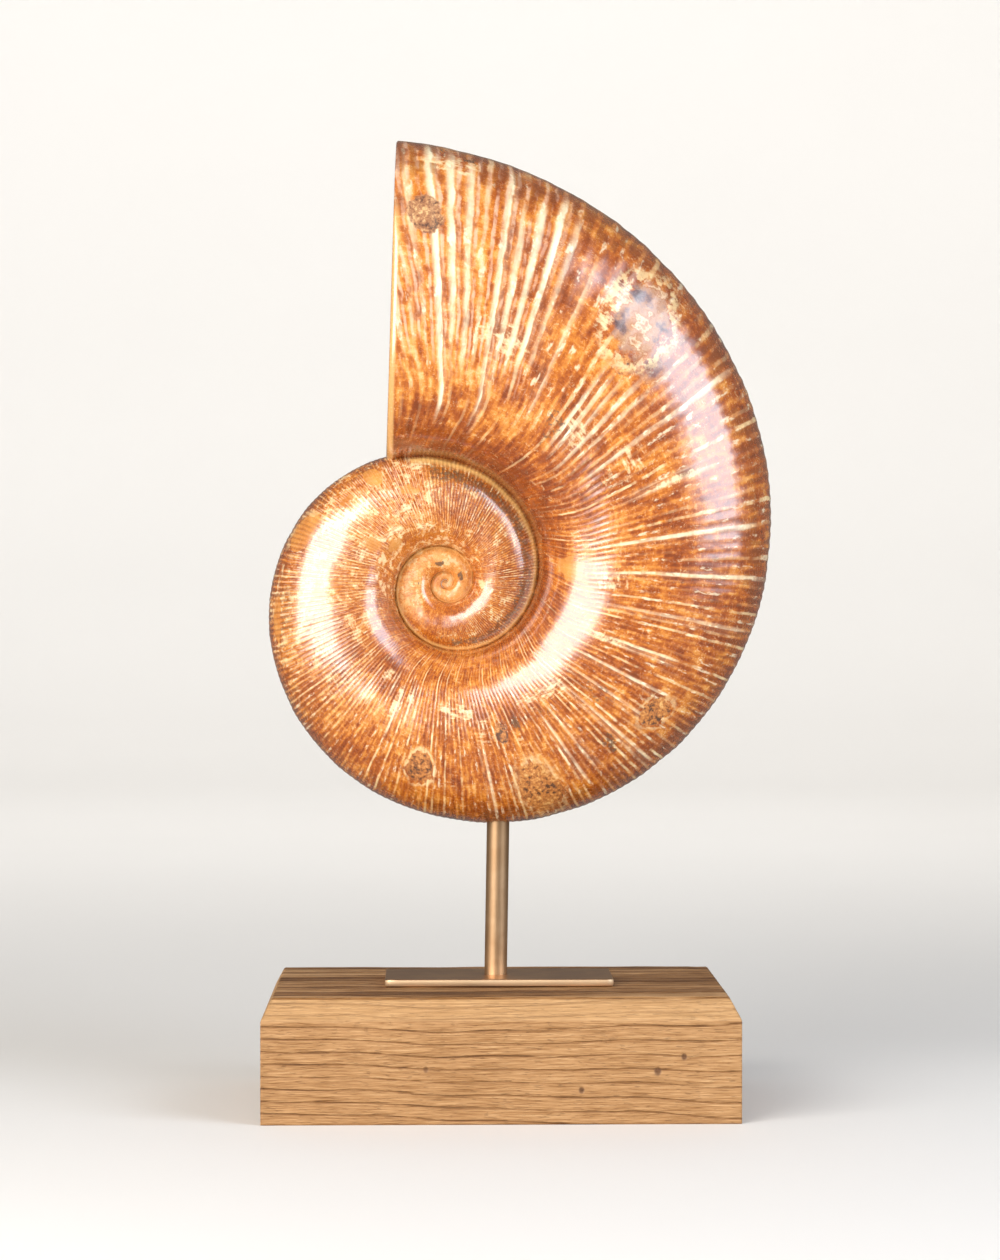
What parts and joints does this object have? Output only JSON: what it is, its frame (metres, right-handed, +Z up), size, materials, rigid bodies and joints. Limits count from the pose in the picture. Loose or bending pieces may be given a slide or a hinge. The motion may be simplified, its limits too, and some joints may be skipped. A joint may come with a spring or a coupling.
{
  "type": "lytoceras ammonite on base",
  "caption": "Polished ribbed ammonite fossil with a flat cut end, held upright on a brass rod over a brass plate and a chamfered oak block.",
  "frame": {"origin": "centre of the oak block's underside, where the object stands", "axes": "+Z up, +X to the right as the ribbed side with the cut end at its upper left is seen, +Y away from that viewer"},
  "size_m": [0.2232, 0.13, 0.4254],
  "materials": {
    "fossil": "polished orange-brown fossil shell with cream ribs and rough brown patches",
    "rod_brass": "satin turned brass",
    "plate_brass": "brushed, slightly dulled brass",
    "oak": "oiled light oak with brushed grain"
  },
  "bodies": {
    "root": {"ammonite": "fossil", "rod": "rod_brass", "plate": "plate_brass", "base": "oak"}
  },
  "joints": []
}
